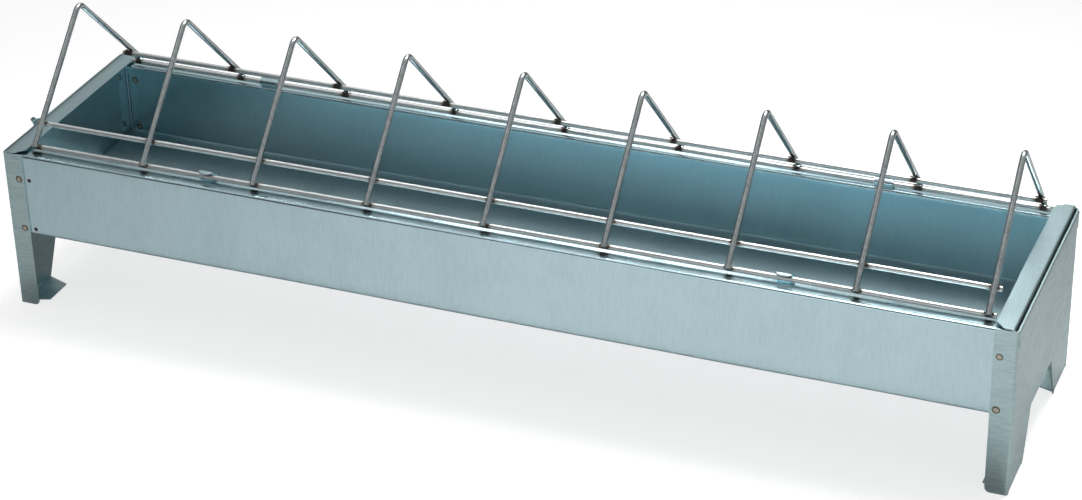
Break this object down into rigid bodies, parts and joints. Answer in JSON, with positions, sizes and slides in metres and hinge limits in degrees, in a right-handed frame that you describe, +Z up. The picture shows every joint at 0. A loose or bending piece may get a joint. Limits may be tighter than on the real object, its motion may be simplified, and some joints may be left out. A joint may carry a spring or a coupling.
{
  "type": "trough feeder",
  "caption": "Sheet-metal trough feeder for chicks: a folded tray between two leg panels, under a hinged, welded wire grid of pointed hoops.",
  "frame": {"origin": "on the floor, under the middle of the feeder: the bottom centre of its bounding box", "axes": "+X along the trough towards the right-hand leg panel, -Y the front, which holds the two catch lugs, +Y the rear, which holds the hinge straps, +Z up"},
  "size_m": [0.5012, 0.1178, 0.1395],
  "materials": {
    "sheet_steel": "thin bright sheet steel, cold-rolled, lightly streaked",
    "wire_steel": "bright drawn steel wire",
    "wire_weld_steel": "heat-darkened resistance welds",
    "spot_weld_steel": "round spot welds with a brown heat tint"
  },
  "bodies": {
    "trough": {"trough_tray": "sheet_steel", "left_end_plate": "sheet_steel", "left_leg_panel": "sheet_steel", "right_end_plate": "sheet_steel", "right_leg_panel": "sheet_steel", "front_left_spot_welds": "spot_weld_steel", "rear_left_spot_welds": "spot_weld_steel", "front_right_spot_welds": "spot_weld_steel", "rear_right_spot_welds": "spot_weld_steel"},
    "grid": {"grid_front_lower_rod": "wire_steel", "grid_rear_lower_rod": "wire_steel", "grid_front_upper_rod": "wire_steel", "grid_rear_upper_rod": "wire_steel", "grid_front_lower_welds": "wire_weld_steel", "grid_rear_lower_welds": "wire_weld_steel", "grid_front_upper_welds": "wire_weld_steel", "grid_rear_upper_welds": "wire_weld_steel", "grid_hoop_1": "wire_steel", "grid_hoop_2": "wire_steel", "grid_hoop_3": "wire_steel", "grid_hoop_4": "wire_steel", "grid_hoop_5": "wire_steel", "grid_hoop_6": "wire_steel", "grid_hoop_7": "wire_steel", "grid_hoop_8": "wire_steel", "grid_hoop_9": "wire_steel"}
  },
  "joints": [
    {"name": "grid_hinge", "type": "hinge", "parent": "trough", "child": "grid", "pos_m": [0, 0.0504, 0.0854], "axis": [-1, 0, 0], "range_deg": [0, 55]}
  ]
}
